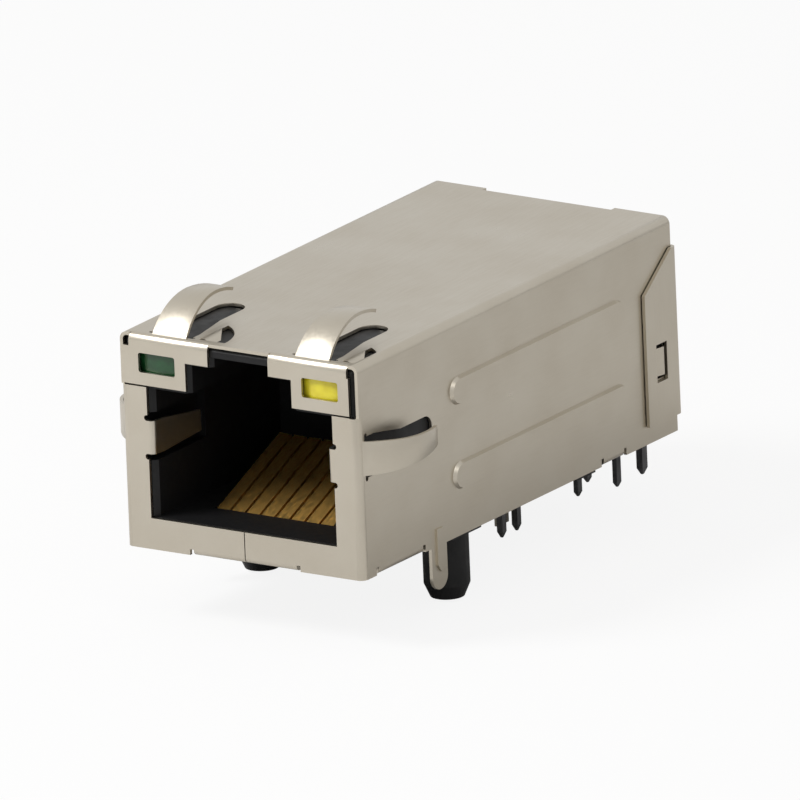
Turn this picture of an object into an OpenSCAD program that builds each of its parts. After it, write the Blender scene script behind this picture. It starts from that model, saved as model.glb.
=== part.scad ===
// Shielded RJ45 board jack with built-in magnetics, two status LEDs and grounding fingers.
// Frame: +X right as seen from the port, +Y from the port to the rear, +Z up from the board.
// The origin is on the board's surface, midway between the two locating pegs.
// Inside the modules, Y counts from the shield's front face and Z from its lower edge.

/* [Shield] */
// Width over the side walls
shield_w = 16.26; // [16.2:0.01:16.5]
// Height from the lower edge to the top
shield_h = 12.82; // [12.75:0.01:13.1]
// Length from the front face to the rear edge
shield_l = 32.8; // [32.7:0.05:34]
// Thickness of the sheet
sheet = 0.2; // [0.16:0.01:0.22]
// Outer radius of the long bends
bend_r = 0.45; // [0.42:0.01:0.5]
// Inner radius of the small folds along the lower edge
fold_inner_r = 0.1; // [0.08:0.01:0.12]
// Play between the shield and what it wraps
shield_play = 0.05; // [0.04:0.01:0.08]
// Gap between the two halves of the sill
seam_gap = 0.06; // [0.04:0.01:0.1]
// Width of the slits where two edges of the sheet meet
slit_w = 0.1; // [0.08:0.01:0.14]

/* [Port opening in the shield] */
// Width between the jambs
port_w = 12.72; // [12.5:0.02:12.8]
// Height of the sill
sill_h = 1.86; // [1.8:0.01:1.95]
// Length of the LED flaps, from the top down
flap_l = 3.02; // [2.95:0.01:3.1]
// Width of the latch notch between the flaps
latch_w = 7.26; // [7.1:0.02:7.4]
// Distance of the step in the latch notch below the top
latch_step_drop = 1.34; // [1.3:0.01:1.4]
// Width of the upper part of the latch notch
latch_top_w = 4.14; // [4:0.02:4.3]
// Distance of a flap's outer edge from the side face
flap_inset = 0.3; // [0.26:0.01:0.34]
// Distance of the outer end of a flap's fold from the side face
flap_fold_inset = 0.68; // [0.6:0.01:0.74]

/* [Spring fingers] */
// Distance of the finger roots from the front face
finger_root_y = 0.385; // [0.36:0.005:0.42]
// Radius of a finger in front of its crest
finger_front_r = 4.1; // [4:0.05:4.3]
// Radius of a finger behind its crest
finger_rear_r = 6.6; // [6:0.1:7.2]
// Height of the top fingers above the top
top_finger_rise = 1.9; // [1.7:0.05:2]
// Distance of the top finger tips from the front face
top_finger_reach = 6.1; // [5.8:0.05:6.4]
// Width of a top finger at its root
top_finger_root_w = 2.37; // [2.2:0.01:2.4]
// Width of a top finger at its tip
top_finger_tip_w = 1.47; // [1.3:0.01:1.5]
// Distance of the top fingers from the middle
top_finger_x = 4.9; // [4.8:0.02:5]
// Height of the side fingers above the side wall
side_finger_rise = 1.77; // [1.6:0.01:1.9]
// Distance of the side finger tips from the front face
side_finger_reach = 6.23; // [6:0.01:6.4]
// Width of a side finger at its root
side_finger_root_w = 2.13; // [2:0.01:2.2]
// Width of a side finger at its tip
side_finger_tip_w = 1.13; // [1:0.01:1.2]
// Height of the side fingers' middle line
side_finger_z = 7.25; // [7.15:0.01:7.35]
// Distance of the rear ends of the finger windows from the front face
window_end_y = 7.6; // [7.4:0.05:7.8]
// Distance of the front ends of the finger windows from the front face
window_front_y = 0.6; // [0.56:0.01:0.66]

/* [Plug springs] */
// Length of the springs that touch the plug's own shield
plug_spring_l = 4.3; // [4:0.05:4.5]
// Gap between the folded roots of the two springs
plug_spring_root_gap = 11.9; // [11.8:0.02:12]
// Gap between the tips of the two springs
plug_spring_tip_gap = 11; // [10.8:0.05:11.2]
// Height of a spring at its root
plug_spring_root_h = 1.98; // [1.8:0.02:2]
// Height of a spring at its tip
plug_spring_tip_h = 1.2; // [1:0.05:1.4]
// Height of the springs' middle line
plug_spring_z = 6.69; // [6.6:0.01:6.8]

/* [Shield details] */
// Height of the beads pressed out of the side walls
bead_rise = 0.22; // [0.15:0.01:0.25]
// Distance of the front ends of the beads from the front face
bead_front_y = 9.5; // [9.4:0.05:9.8]
// Distance of the rear ends of the beads from the rear edge
bead_back = 5.1; // [4.9:0.05:5.3]
// Width of the beads
bead_w = 1.75; // [1.6:0.05:1.9]
// Height of the upper bead
upper_bead_z = 8.6; // [8.5:0.02:8.8]
// Height of the lower bead
lower_bead_z = 3.56; // [3.4:0.02:3.7]
// Width of the grounding tab on each side wall
ground_tab_w = 1.57; // [1.5:0.01:1.65]
// Distance of the grounding tabs from the front face
ground_tab_y = 7.85; // [7.8:0.01:7.95]
// Reach of the grounding tabs below the shield
ground_tab_l = 2.6; // [2.4:0.05:2.8]
// Width of the rib coined into a grounding tab
coined_rib_w = 0.65; // [0.6:0.01:0.7]
// Height of that rib
coined_rib_rise = 0.12; // [0.08:0.01:0.15]
// Width of the tabs that fold under the housing
under_tab_w = 1; // [0.8:0.05:1.1]
// Distance of the front pair of those tabs from the front face
front_tab_y = 1.6; // [1.5:0.05:1.7]
// Length of the front pair
front_tab_l = 4.6; // [4.4:0.05:4.8]
// Distance of the rear pair from the rear edge
rear_tab_back = 5.6; // [5.5:0.05:5.8]
// Length of the rear pair
rear_tab_l = 2.1; // [2:0.05:2.3]
// Length of the sill's part that folds under the housing
sill_fold_l = 1.6; // [1.2:0.05:1.7]
// Distance of the relief notches in the sill from the middle
sill_notch_x = 3.65; // [3.5:0.05:3.8]
// Width of the relief notches beside the folds
relief_w = 0.25; // [0.2:0.01:0.3]
// Depth of the cut-back in the middle of the top's rear edge
rear_cutback = 0.39; // [0.35:0.01:0.45]
// Width of that cut-back
rear_cutback_w = 8.8; // [8.6:0.05:9]

/* [Rear shield] */
// Reach of the wings forward of the back plate's bend
wing_l = 3.15; // [3:0.05:3.3]
// Height of the wings' lower edge
wing_bottom_z = 1.06; // [1:0.01:1.2]
// Distance below the top at which the front edge of a wing starts to slant back
wing_slant_drop = 3.9; // [3.8:0.02:4]
// Distance of the wings' upper edge below the top
wing_drop = 1.77; // [1.6:0.01:1.9]
// Inner radius of the wings' bends
wing_inner_r = 0.13; // [0.1:0.01:0.135]
// Length of the latch windows
latch_window_l = 1.09; // [1:0.01:1.15]
// Height of the latch windows
latch_window_h = 2.26; // [2.1:0.02:2.3]
// Height of the latch windows' middle
latch_window_z = 4.6; // [4.5:0.02:4.7]
// Distance of the latch windows' rear edge from the shield's rear edge
latch_window_back = 1.16; // [1.1:0.01:1.2]
// Length of the flange that folds in under the top
top_flange_l = 1.2; // [1:0.05:1.4]

/* [Housing] */
// Gap between the board and the shield's lower edge
board_gap = 0.25; // [0.22:0.01:0.3]
// Distance of the pegs from the front face
peg_y = 11.15; // [11.1:0.01:11.2]
// Distance of the pegs from the side faces
peg_inset = 1.78; // [1.76:0.01:1.8]
// Diameter of the pegs
peg_d = 2.7; // [2.6:0.01:2.72]
// Reach of the pegs below the shield's lower edge
peg_l = 4.1; // [3.9:0.05:4.3]
// Length of the taper at the peg tips
peg_taper_l = 0.8; // [0.6:0.05:1]
// Diameter of the peg tips
peg_tip_d = 2; // [1.8:0.05:2.1]
// Width of the square foot that stands on the board round a peg
peg_foot = 3; // [2.8:0.02:3.04]
// Width of the cavity for the plug
cavity_w = 12.1; // [11.9:0.02:12.2]
// Depth of the cavity for the plug, from the front face
cavity_l = 13.2; // [13:0.05:13.4]
// Thickness of the wall behind the cavity
cavity_wall = 1.2; // [1.1:0.05:1.3]
// Distance of the cavity's ceiling below the edge of the flaps
ceiling_step = 0.2; // [0.1:0.02:0.3]
// Height of the cavity's floor
floor_z = 1.9; // [1.88:0.01:1.95]
// Thickness of the side walls of the rear compartment
side_wall = 0.83; // [0.7:0.01:0.9]
// Thickness of the roof of the rear compartment
roof_t = 2.57; // [2.5:0.01:2.7]
// Length of the housing short of the shield's rear edge
housing_short = 0.5; // [0.5:0.05:0.7]
// Size of the chamfer round the mouth
mouth_chamfer = 0.3; // [0.2:0.01:0.35]

/* [LEDs] */
// Distance of the LEDs from the middle
led_x = 5.585; // [5.5:0.005:5.65]
// Distance of the LEDs' middle line below the top
led_drop = 1.685; // [1.65:0.005:1.72]
// Width of the windows for the LEDs
led_window_w = 2.49; // [2.4:0.01:2.6]
// Height of the windows for the LEDs
led_window_h = 1.17; // [1.1:0.01:1.2]
// Width of the LED bodies
led_w = 2.75; // [2.65:0.01:2.8]
// Height of the LED bodies
led_h = 1.43; // [1.3:0.01:1.5]
// Rear end of the LED bodies, from the front face
led_end_y = 7.5; // [7:0.05:8]
// Radius of the crown on the LED fronts
led_crown_r = 5; // [4:0.1:8]
// Thickness of the LED leads
led_lead = 0.4; // [0.36:0.01:0.42]
// Distance of the lead tails from the middle
led_tail_x = 4.55; // [4.5:0.01:4.65]
// Distances of the two lead tails from the front face
led_tail_y = [19.65, 21.2];
// Play round an LED in its pocket
led_play = 0.05; // [0.03:0.01:0.08]

/* [Contacts] */
// Number of contacts
contact_count = 8; // [8]
// Spacing of the contacts
contact_pitch = 1.016; // [1.01:0.001:1.02]
// Width of a contact where it meets the plug
contact_w = 0.84; // [0.7:0.01:0.88]
// Width of a contact in the carrier
contact_run_w = 0.44; // [0.36:0.01:0.46]
// Thickness of the contacts
contact_t = 0.2; // [0.16:0.01:0.22]
// Slope of the contacts in degrees
contact_slope = 21.8; // [21:0.1:22.5]
// Point where the contacts rise out of the floor, from the front face
contact_front_y = 3.35; // [3.3:0.01:3.5]
// Point where the contacts end, from the front face
contact_end_y = 9.96; // [9.8:0.02:10.1]
// Middle radius of the bend at the contacts' noses
contact_nose_r = 0.35; // [0.33:0.01:0.37]
// Height of the contacts' lower runs
contact_run_z = 0.75; // [0.72:0.01:0.78]

/* [Board and pins] */
// Thickness of the magnetics board
board_t = 0.8; // [0.6:0.05:1]
// Height of the magnetics board's underside
board_z = 2.7; // [2.65:0.01:2.9]
// Reach of the soldered ends above the magnetics board
solder_reach = 0.3; // [0.2:0.02:0.34]
// Reach of the pins below the shield's lower edge
pin_l = 3.25; // [3.1:0.05:3.4]
// Width of a signal pin
pin_w = 0.3; // [0.26:0.01:0.34]
// Depth of a signal pin
pin_d = 0.45; // [0.4:0.01:0.5]
// Pins in the front row
front_row_count = 5; // [5]
// Spacing of the pins in a row
pin_pitch = 2.032; // [2:0.002:2.06]
// Distance of the rear row from the shield's rear edge
rear_row_back = 1.91; // [1.85:0.01:1.95]
// Spacing of the two rows
row_spacing = 2.54; // [2.5:0.01:2.56]
// Distance of the chassis pins from the side faces
chassis_pin_inset = 1.83; // [1.8:0.01:1.9]
// Distance of the chassis pins from the shield's rear edge
chassis_pin_back = 1.1; // [1.05:0.01:1.15]
// Width of a chassis pin
chassis_pin_w = 0.42; // [0.38:0.01:0.46]
// Depth of a chassis pin
chassis_pin_d = 0.52; // [0.48:0.01:0.56]
// Reach of the chassis pins below the shield's lower edge
chassis_pin_l = 2.55; // [2.4:0.05:2.8]
// Width of the inner ground plate
ground_plate_w = 8.2; // [8:0.02:8.24]
// Distance of the ground plate's tabs from the front face
plate_tab_y = 20.5; // [20.3:0.05:20.7]
// Width of the ground plate's tabs
plate_tab_w = 1.2; // [1:0.05:1.4]
// Reach of the ground plate's tabs below the shield's lower edge
plate_tab_l = 2.75; // [2.6:0.05:2.9]

/* [Magnetics] */
// Outer diameter of a transformer
transformer_d = 2.7; // [2.5:0.02:2.76]
// Outer diameter of a choke
choke_d = 2.5; // [2.3:0.02:2.6]
// Height of a transformer
transformer_h = 2.2; // [2:0.05:2.4]
// Height of a choke
choke_h = 1.8; // [1.6:0.05:2]
// Depth of the pockets in the tray
pocket_h = 1.6; // [1.4:0.05:2]
// Height of a pocket's floor above the magnetics board
pocket_floor = 1; // [0.8:0.05:1.2]
// Thickness of the tray's rim
tray_rim = 0.4; // [0.3:0.02:0.5]
// Width of a termination resistor
resistor_w = 0.8; // [0.7:0.05:0.9]
// Length of a termination resistor
resistor_l = 1.6; // [1.4:0.05:1.7]
// Height of a termination resistor
resistor_h = 0.45; // [0.4:0.01:0.6]
// Spacing of the termination resistors
resistor_pitch = 1.9; // [1.6:0.05:2]
// Length of the line capacitor
capacitor_l = 4.5; // [4.2:0.1:4.8]
// Width of the line capacitor
capacitor_w = 2; // [1.8:0.05:2.1]
// Height of the line capacitor
capacitor_h = 1.6; // [1.4:0.05:1.8]

/* [Hidden] */
$fn = 48;

METAL = [0.74, 0.72, 0.68];
BLACK = [0.11, 0.11, 0.12];
GOLD = [0.62, 0.48, 0.24];
PIN_METAL = [0.55, 0.55, 0.54];
BOARD_GREEN = [0.13, 0.36, 0.22];
FERRITE = [0.25, 0.23, 0.22];
COPPER = [0.66, 0.36, 0.2];

over = 1;                                    // how far a cut passes beyond the face it opens
fit = 0.05;                                  // play between inner pieces
half_w = shield_w / 2;
inner_w = shield_w - 2 * sheet;
fold_r = fold_inner_r + sheet;
wing_bend_r = wing_inner_r + sheet;
lining = sheet + shield_play;                // from the shield's outer face to the housing
side_front_y = 0.15;                         // raw front edge of the side walls beside the flaps
flap_z = shield_h - flap_l;
flange_top_z = flap_z - slit_w;
flap_x = half_w - flap_inset;
flap_fold_x = half_w - flap_fold_inset;
latch_step_z = shield_h - latch_step_drop;
latch_y = shield_l - latch_window_back - latch_window_l;
under_tab_spans = [[front_tab_y, front_tab_y + front_tab_l],
    [shield_l - rear_tab_back - rear_tab_l, shield_l - rear_tab_back]];
bead_l = shield_l - bead_front_y - bead_back;
back_plate_h = shield_h - lining;

housing_w = shield_w - 2 * lining;
housing_top = shield_h - lining;
housing_end = shield_l - housing_short;
cavity_end = cavity_l + cavity_wall;
cavity_top_z = flap_z - ceiling_step;
rear_ceiling_z = housing_top - roof_t;
bay_w = housing_w - 2 * side_wall;
peg_x = half_w - peg_inset;
channel_w = (contact_count - 1) * contact_pitch + contact_w + 1.5;
pad_l = 2;                                   // length of the standoffs
led_z = shield_h - led_drop;
lead_floor_z = led_z - 0.485;                // floor of the channels for the LED leads

// Contacts: the run goes forward, turns over the nose and rises towards the rear
nose_out_r = contact_nose_r + contact_t / 2;
nose_in_r = contact_nose_r - contact_t / 2;
nose_z = contact_run_z + contact_nose_r;
nose_top_z = nose_z + nose_out_r * cos(contact_slope);
nose_top_y = contact_front_y - (floor_z + 0.03 - nose_top_z) / tan(contact_slope);
nose_y = nose_top_y + nose_out_r * sin(contact_slope);
wide_run_l = 0.3;                            // stretch of the run that keeps the spring's width
riser_ys = [cavity_end + 0.8, cavity_end + 1.9];

// Inner pieces, from front to rear
carrier_block_end = cavity_end + 2.9;
ledge_l = 0.6;                               // seats of the ground plate
rear_row_y = shield_l - rear_row_back;
front_row_y = rear_row_y - row_spacing;
rear_row_count = front_row_count + 1;
base_front_y = front_row_y - 1.35;
chassis_pin_x = half_w - chassis_pin_inset;
chassis_pin_y = shield_l - chassis_pin_back;
solder_top = board_z + board_t + solder_reach;
insert_w = bay_w - 4 * fit;
board_w = insert_w - 6 * fit;
plate_z = board_z - 0.1 - sheet;
tray_front_y = led_tail_y[1] + 1;
tray_end_y = housing_end - 0.5;
tray_w = board_w - tray_rim;
tray_z = board_z + board_t;
coil_pitch_x = tray_w / 4;
coil_pitch_y = (tray_end_y - tray_front_y) / 2;
coil_row_y = tray_front_y + coil_pitch_y / 2;

// ---- helpers ----

// Puts a piece drawn from the shield's front face and lower edge into the part's frame
module placed() translate([0, -peg_y, board_gap]) children();

module box(a, b) translate(a) cube(b - a);

module both_sides() {
    children();
    mirror([1, 0, 0]) children();
}

// Extrudes an outline drawn in Y and Z along X
module along_x(x, length) translate([x, 0, 0]) rotate([90, 0, 90]) linear_extrude(length) children();

// Extrudes an outline drawn in X and Z along Y
module along_y(y, length) translate([0, y + length, 0]) rotate([90, 0, 0]) linear_extrude(length) children();

// Extrudes an outline drawn in X and Y along Z
module along_z(z, length) translate([0, 0, z]) linear_extrude(length) children();

// Rectangle on the X axis with round upper corners
module arch(w, h, r) {
    translate([-w / 2, 0]) square([w, h - r]);
    translate([-w / 2 + r, 0]) square([w - 2 * r, h]);
    for (x = [-w / 2 + r, w / 2 - r]) translate([x, h - r]) circle(r);
}

module rounded_rect(w, h, r) {
    square([w - 2 * r, h], center = true);
    square([w, h - 2 * r], center = true);
    for (x = [-1, 1], y = [-1, 1]) translate([x * (w / 2 - r), y * (h / 2 - r)]) circle(r);
}

// Part of a ring between two angles that are less than 180 degrees apart
module ring_sector(r_out, r_in, from, to) intersection() {
    difference() {
        circle(r_out);
        circle(r_in);
    }
    polygon(concat([[0, 0]], [for (i = [0:3]) 2 * r_out * [cos(from + (to - from) * i / 3), sin(from + (to - from) * i / 3)]]));
}

// Quarter turn of the sheet with its centre at the origin
module sheet_bend(r, from) ring_sector(r, r - sheet, from, from + 90);

// Square pin with a pyramid at its lower end
module pin(w, d, bottom, top) {
    point = min(w, d) * 0.9;
    blunt = 0.3;
    intersection() {
        along_x(-w / 2, w)
            polygon([[-blunt * d / 2, bottom], [blunt * d / 2, bottom], [d / 2, bottom + point],
                [d / 2, top], [-d / 2, top], [-d / 2, bottom + point]]);
        along_y(-d / 2, d)
            polygon([[-blunt * w / 2, bottom], [blunt * w / 2, bottom], [w / 2, bottom + point],
                [w / 2, top], [-w / 2, top], [-w / 2, bottom + point]]);
    }
}

// ---- front shield ----

function crest_y(rise) = finger_root_y + sqrt(pow(finger_front_r, 2) - pow(finger_front_r - rise, 2));

// Spring finger that rises in +Z out of a wall lying in the XY plane
module finger(rise, reach, root_w, tip_w) intersection() {
    along_x(-root_w, 2 * root_w) {
        translate([crest_y(rise), rise - finger_front_r])
            ring_sector(finger_front_r, finger_front_r - sheet,
                90, 90 + acos((finger_front_r - rise - 2 * sheet) / finger_front_r));
        translate([crest_y(rise), rise - finger_rear_r])
            ring_sector(finger_rear_r, finger_rear_r - sheet,
                90 - asin((reach - crest_y(rise)) / finger_rear_r), 90);
    }
    along_z(-sheet, rise + 2 * sheet)
        polygon([[-root_w / 2, 0], [root_w / 2, 0], [tip_w / 2, reach + 0.1], [-tip_w / 2, reach + 0.1]]);
}

// Hole that a finger leaves in its wall, with a round end and small flares beside the root
module finger_window(root_w, tip_w) {
    side_gap = 0.17;
    end_r = tip_w / 2 + side_gap;
    flare_x = root_w / 2 + side_gap;
    flare_r = 0.14;
    polygon([[-flare_x, window_front_y], [flare_x, window_front_y], [flare_x, 1.6],
        [end_r, 4.4], [end_r, window_end_y - end_r], [-end_r, window_end_y - end_r],
        [-end_r, 4.4], [-flare_x, 1.6]]);
    translate([0, window_end_y - end_r]) circle(end_r);
    for (x = [-1, 1]) translate([x * (flare_x + 0.06), window_front_y + flare_r]) circle(flare_r);
}

// Puts a finger or its window on the right side wall
module on_side() translate([half_w, 0, side_finger_z]) rotate([0, 90, 0]) children();

// Puts a finger or its window on the right half of the top
module on_top() translate([top_finger_x, 0, shield_h]) children();

module shell_section() difference() {
    arch(shield_w, shield_h, bend_r);
    translate([0, -over]) arch(inner_w, shield_h - sheet + over, bend_r - sheet);
}

// Room cut out of the shell for the folds at the front and along the lower edge
module shell_cuts() {
    box([-half_w - over, -over, -over], [half_w + over, bend_r, flange_top_z]);
    both_sides() {
        box([latch_top_w / 2, -over, shield_h - bend_r], [flap_fold_x, bend_r, shield_h + over]);
        for (span = under_tab_spans)
            box([half_w - over, span[0] - relief_w, -over], [half_w + over, span[1] + relief_w, fold_r + 0.15]);
        on_side() along_z(-over, 2 * over) finger_window(side_finger_root_w, side_finger_tip_w);
        latch_tab_window();
    }
    for (x = [-1, 1]) translate([x * top_finger_x, 0, shield_h])
        along_z(-over, 2 * over) finger_window(top_finger_root_w, top_finger_tip_w);
    box([-rear_cutback_w / 2, shield_l - rear_cutback, shield_h - 2 * bend_r],
        [rear_cutback_w / 2, shield_l + over, shield_h + over]);
}

// Flap that folds down from the top and frames an LED
module led_flap() {
    fold_z = shield_h - bend_r;
    along_y(0, sheet) difference() {
        polygon([[latch_top_w / 2, latch_step_z], [latch_w / 2, latch_step_z], [latch_w / 2, flap_z],
            [flap_x, flap_z], [flap_x, fold_z - 0.3], [flap_fold_x, fold_z - 0.3],
            [flap_fold_x, fold_z], [latch_top_w / 2, fold_z]]);
        translate([led_x, led_z]) rounded_rect(led_window_w, led_window_h, 0.15);
    }
    along_x(latch_top_w / 2, flap_fold_x - latch_top_w / 2)
        translate([bend_r, fold_z]) sheet_bend(bend_r, 90);
}

// Half of the sill and the jamb that fold in from a side wall
module jamb() {
    spring_bottom = plug_spring_z - plug_spring_root_h / 2;
    spring_top = plug_spring_z + plug_spring_root_h / 2;
    notch_r = 0.17;
    bend_x = half_w - bend_r;
    along_y(0, sheet) difference() {
        union() {
            translate([port_w / 2, fold_r]) square([bend_x - port_w / 2, flange_top_z - fold_r]);
            translate([seam_gap / 2, fold_r]) square([bend_x - seam_gap / 2, sill_h - fold_r]);
            translate([sill_notch_x + relief_w / 2, 0])
                square([bend_x - sill_notch_x - relief_w / 2, fold_r]);
            translate([plug_spring_root_gap / 2 + fold_r, spring_bottom])
                square([port_w / 2 - plug_spring_root_gap / 2, plug_spring_root_h]);
        }
        for (z = [spring_bottom - notch_r, spring_top + notch_r])
            translate([port_w / 2 + 0.05, z]) circle(notch_r);
        translate([sill_notch_x - relief_w / 2, -over]) square([relief_w, fold_r + 0.05 + over]);
    }
    along_z(0, flange_top_z) translate([bend_x, bend_r]) sheet_bend(bend_r, 270);
    along_x(seam_gap / 2, sill_notch_x - relief_w / 2 - seam_gap / 2)
        translate([fold_r, fold_r]) sheet_bend(fold_r, 180);
    box([seam_gap / 2, fold_r, 0], [sill_notch_x - relief_w / 2, sill_fold_l, sheet]);
}

// Spring that folds back from a jamb and touches the plug's own shield
module plug_spring() {
    root_x = plug_spring_root_gap / 2;
    tip_x = plug_spring_tip_gap / 2;
    lean = atan((root_x - tip_x) / (plug_spring_l - fold_r));
    intersection() {
        along_z(plug_spring_z - plug_spring_root_h / 2, plug_spring_root_h) {
            translate([root_x + fold_r, fold_r]) ring_sector(fold_r, fold_r - sheet, 180 - lean, 270);
            translate([root_x + fold_r, fold_r]) rotate(lean)
                translate([-fold_r, 0]) square([sheet, plug_spring_l - fold_r]);
        }
        along_x(0, half_w)
            polygon([[0, plug_spring_z - plug_spring_root_h / 2], [1, plug_spring_z - plug_spring_root_h / 2],
                [plug_spring_l, plug_spring_z - plug_spring_tip_h / 2],
                [plug_spring_l, plug_spring_z + plug_spring_tip_h / 2],
                [1, plug_spring_z + plug_spring_root_h / 2], [0, plug_spring_z + plug_spring_root_h / 2]]);
    }
}

// Tabs that fold in under the housing from the lower edge of a side wall
module under_tabs() for (span = under_tab_spans) {
    along_y(span[0], span[1] - span[0]) {
        translate([half_w - fold_r, fold_r]) sheet_bend(fold_r, 270);
        translate([half_w - sheet, fold_r]) square([sheet, 0.15]);
    }
    box([half_w - fold_r - under_tab_w, span[0], 0], [half_w - fold_r, span[1], sheet]);
}

// Tab that goes into the board, with a pointed rib coined into it
module ground_tab() {
    r = ground_tab_w / 2;
    along_x(half_w - sheet, sheet) {
        translate([ground_tab_y - r, -ground_tab_l + r]) square([ground_tab_w, ground_tab_l - r + 0.1]);
        translate([ground_tab_y, -ground_tab_l + r]) circle(r);
    }
    along_x(half_w - sheet / 2, sheet / 2 + coined_rib_rise)
        polygon([[ground_tab_y - coined_rib_w / 2, 1.06], [ground_tab_y + coined_rib_w / 2, 1.06],
            [ground_tab_y + coined_rib_w / 2, -1.1], [ground_tab_y, -1.54],
            [ground_tab_y - coined_rib_w / 2, -1.1]]);
}

// Stadium-shaped bead along Y with sloping sides, rising in +X from X = 0
module bead(w, length, rise) {
    r = w / 2;
    top_r = r - 0.15;
    along_y(r, length - 2 * r) polygon([[0, -r], [rise, -top_r], [rise, top_r], [0, r]]);
    for (y = [r, length - r]) translate([0, y, 0]) rotate([0, 90, 0]) cylinder(rise, r, top_r);
}

module side_beads(w, x, rise) for (z = [upper_bead_z, lower_bead_z])
    translate([x, bead_front_y + (bead_w - w) / 2, z]) bead(w, bead_l - (bead_w - w), rise);

// Slot round the springy tab that snaps into the rear shield's wing
module latch_tab_window() box([half_w - over, latch_y + 0.05, latch_window_z - latch_window_h / 2 + 0.1],
    [half_w + over, latch_y + latch_window_l - 0.05, latch_window_z + latch_window_h / 2 - 0.1]);

module latch_tab() {
    lean = 12;
    translate([half_w - sheet, latch_y + 0.05, latch_window_z - latch_window_h / 2 + 0.3])
        rotate([0, 0, -lean]) box([0, -0.05, 0], [sheet, latch_window_l - 0.2, latch_window_h - 0.6]);
}

module front_shield() placed() color(METAL) {
    difference() {
        union() {
            difference() {
                along_y(side_front_y, shield_l - side_front_y) shell_section();
                shell_cuts();
            }
            both_sides() side_beads(bead_w, half_w - sheet / 2, bead_rise + sheet / 2);
        }
        both_sides() side_beads(bead_w - 2 * sheet, half_w - sheet - 0.01, bead_rise + 0.01);
    }
    both_sides() {
        led_flap();
        jamb();
        plug_spring();
        under_tabs();
        ground_tab();
        latch_tab();
        on_top() finger(top_finger_rise, top_finger_reach, top_finger_root_w, top_finger_tip_w);
        on_side() finger(side_finger_rise, side_finger_reach, side_finger_root_w, side_finger_tip_w);
    }
}

// ---- rear shield ----

module rear_shield() placed() color(METAL) {
    outer_x = half_w + lining;
    outer_y = shield_l + lining;
    bend_x = outer_x - wing_bend_r;
    bend_y = outer_y - wing_bend_r;
    flange_w = rear_cutback_w - 0.6;
    flange_r = 0.3;
    wing_top_z = shield_h - wing_drop;
    along_y(shield_l + shield_play, sheet) {
        translate([-bend_x, wing_bottom_z]) square([2 * bend_x, wing_top_z - wing_bottom_z]);
        translate([-half_w + 0.7, wing_bottom_z]) square([shield_w - 1.4, back_plate_h - flange_r - wing_bottom_z]);
    }
    along_x(-flange_w / 2, flange_w) translate([outer_y - flange_r, back_plate_h - flange_r])
        sheet_bend(flange_r, 0);
    box([-flange_w / 2, outer_y - flange_r - top_flange_l, back_plate_h - sheet],
        [flange_w / 2, outer_y - flange_r, back_plate_h]);
    both_sides() {
        along_z(wing_bottom_z, wing_top_z - wing_bottom_z)
            translate([bend_x, bend_y]) sheet_bend(wing_bend_r, 0);
        along_x(outer_x - sheet, sheet) difference() {
            polygon([[bend_y - wing_l, wing_bottom_z], [bend_y, wing_bottom_z], [bend_y, wing_top_z],
                [bend_y - 0.25, wing_top_z], [bend_y - wing_l, shield_h - wing_slant_drop]]);
            translate([latch_y, latch_window_z - latch_window_h / 2])
                square([latch_window_l, latch_window_h]);
        }
    }
}

// ---- housing ----

module housing_body() intersection() {
    along_y(lining, housing_end - lining) arch(housing_w, housing_top, bend_r - sheet / 2);
    along_z(lining, shield_h) {
        edge = bend_r - lining;
        polygon([[-housing_w / 2 + edge, lining], [housing_w / 2 - edge, lining],
            [housing_w / 2, lining + edge], [housing_w / 2, housing_end],
            [-housing_w / 2, housing_end], [-housing_w / 2, lining + edge]]);
    }
    along_x(-half_w, shield_w) {
        edge = bend_r - lining;
        polygon([[lining, 0], [lining, housing_top - edge], [lining + edge, housing_top],
            [housing_end, housing_top], [housing_end, 0]]);
    }
}

// Locating peg with a tapered tip, and the square foot that stands on the board round it
module peg() translate([peg_x, peg_y, 0]) {
    straight = peg_l - peg_taper_l;
    translate([0, 0, -straight]) cylinder(straight, d = peg_d);
    translate([0, 0, -peg_l]) cylinder(peg_taper_l, d1 = peg_tip_d, d2 = peg_d);
    box([-peg_foot / 2, -peg_foot / 2, -board_gap], [peg_foot / 2, peg_foot / 2, lining + 0.2]);
}

// Stepped room for the plug and its latch, with a chamfer round the mouth
module plug_cavity() {
    half_steps = [[cavity_w / 2, cavity_top_z], [latch_w / 2 - 0.13, latch_step_z - 0.13],
        [latch_top_w / 2 - 0.13, shield_h - 0.82]];
    for (step = half_steps) {
        box([-step[0], -over, floor_z], [step[0], cavity_l, step[1]]);
        both_sides() along_z(floor_z, step[1] - floor_z)
            polygon([[step[0] - over, 0], [step[0] + mouth_chamfer, 0], [step[0] + mouth_chamfer, lining],
                [step[0], lining + mouth_chamfer], [step[0] - over, lining + mouth_chamfer]]);
    }
}

// Room for the noses and the slopes of the contacts, and for the carrier below them
module contact_channel() {
    half_row = (contact_count - 1) / 2 * contact_pitch + contact_w / 2 + 0.15;
    clear = 0.1;
    lip_y = contact_front_y - 0.02;
    along_x(-half_row, 2 * half_row)
        polygon([[nose_y - nose_out_r - clear, -over], [nose_y - nose_out_r - clear, nose_z],
            [lip_y - (floor_z - nose_z) / tan(contact_slope) * 0.72, nose_top_z + clear],
            [lip_y - clear, floor_z], [lip_y - clear, floor_z + over],
            [contact_end_y + 1.4, floor_z + over], [contact_end_y + 1.4, -over]]);
    box([-channel_w / 2, nose_y, -over], [channel_w / 2, cavity_end + over, nose_z + 0.25]);
}

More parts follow.
